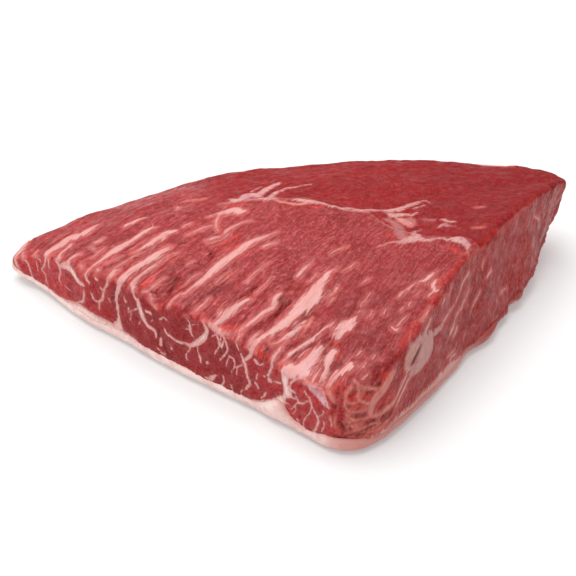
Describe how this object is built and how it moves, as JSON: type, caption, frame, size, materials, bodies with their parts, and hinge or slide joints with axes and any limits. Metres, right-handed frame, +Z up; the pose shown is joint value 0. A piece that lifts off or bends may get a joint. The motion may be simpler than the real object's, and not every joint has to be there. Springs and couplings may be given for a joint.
{
  "type": "raw picanha",
  "caption": "Raw beef rump cap as a thick triangular piece of marbled lean meat lying on its layer of fat.",
  "frame": {"origin": "under the middle of the piece, on the surface it lies on", "axes": "+X along the longest side from the thin end to the thick one, +Z up through the thickness"},
  "size_m": [0.2928, 0.2086, 0.0537],
  "materials": {
    "lean_meat": "raw red meat, moist",
    "fat": "raw cream pink fat, moist"
  },
  "bodies": {
    "root": {"lean_muscle": "lean_meat", "fat_cap": "fat"}
  },
  "joints": []
}
